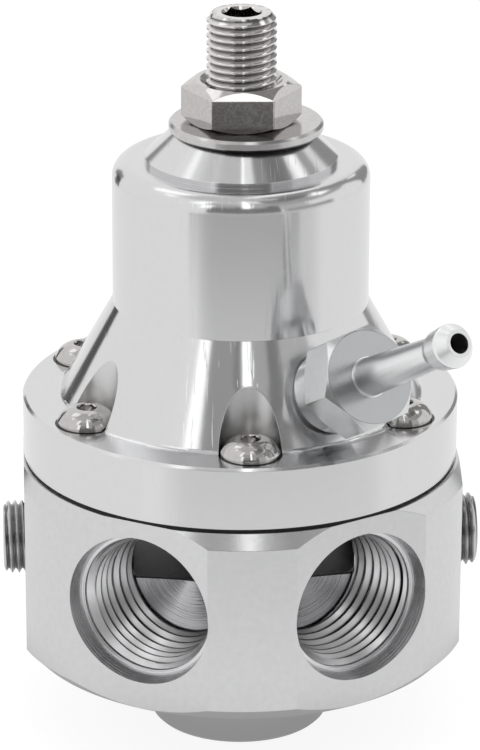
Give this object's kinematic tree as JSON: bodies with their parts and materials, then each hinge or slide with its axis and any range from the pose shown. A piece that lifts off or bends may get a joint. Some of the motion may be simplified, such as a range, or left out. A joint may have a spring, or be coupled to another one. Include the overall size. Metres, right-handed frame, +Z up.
{
  "type": "fuel pressure regulator",
  "caption": "Return-style fuel pressure regulator: polished flat-sided body with threaded ports, conical bonnet, barbed hose nipple, top adjusting screw and jam nut.",
  "frame": {"origin": "on the main axis at the bottom face of the boss, where the regulator stands", "axes": "+Z up along the main axis to the adjusting screw; -Y is the front, between the two front ports; +X is to the right seen from the front"},
  "size_m": [0.066, 0.0767, 0.1022],
  "materials": {
    "polished_aluminium": "polished",
    "inner_aluminium": "machined",
    "stainless": "satin",
    "nipple_metal": "satin",
    "plug_steel": "dark oxide",
    "spring_steel": "drawn",
    "seat_brass": "machined",
    "seal_rubber": "matt"
  },
  "bodies": {
    "housing": {"body": "polished_aluminium", "bonnet": "polished_aluminium", "diaphragm": "seal_rubber", "washer": "stainless", "hose_nipple": "nipple_metal", "gauge_plug_left": "plug_steel", "gauge_plug_right": "plug_steel", "valve_seat": "seat_brass", "seat_ring": "seal_rubber", "main_spring": "spring_steel", "cover_screw_1": "stainless", "cover_screw_2": "stainless", "cover_screw_3": "stainless", "cover_screw_4": "stainless", "cover_screw_5": "stainless", "cover_screw_6": "stainless"},
    "spring_button": {"spring_button": "inner_aluminium"},
    "adjusting_screw": {"adjusting_screw": "stainless"},
    "jam_nut": {"jam_nut": "stainless"},
    "valve": {"valve_stem": "stainless", "valve_pad": "seal_rubber", "lower_plate": "inner_aluminium", "upper_plate": "inner_aluminium", "stem_nut": "stainless"}
  },
  "joints": [
    {"name": "adjuster_slide", "type": "slide", "parent": "housing", "child": "spring_button", "axis": [0, 0, -1], "range_m": [-0.00212, 0.00212], "deforming": ["main_spring"]},
    {"name": "adjuster_turn", "type": "hinge", "parent": "spring_button", "child": "adjusting_screw", "pos_m": [0, 0, 0.064], "axis": [0, 0, -1], "range_deg": [-720, 720]},
    {"name": "jam_nut_turn", "type": "hinge", "parent": "housing", "child": "jam_nut", "pos_m": [0, 0, 0.08715], "axis": [0, 0, 1], "range_deg": [0, 360]},
    {"name": "valve_lift", "type": "slide", "parent": "housing", "child": "valve", "axis": [0, 0, 1], "range_m": [0, 0.0012], "stiffness_N_per_m": 2000, "springref_m": -0.001, "deforming": ["diaphragm"]}
  ],
  "couplings": [
    {"joint": "adjuster_turn", "follows": "adjuster_slide", "rad_per_m": 5936.9}
  ]
}
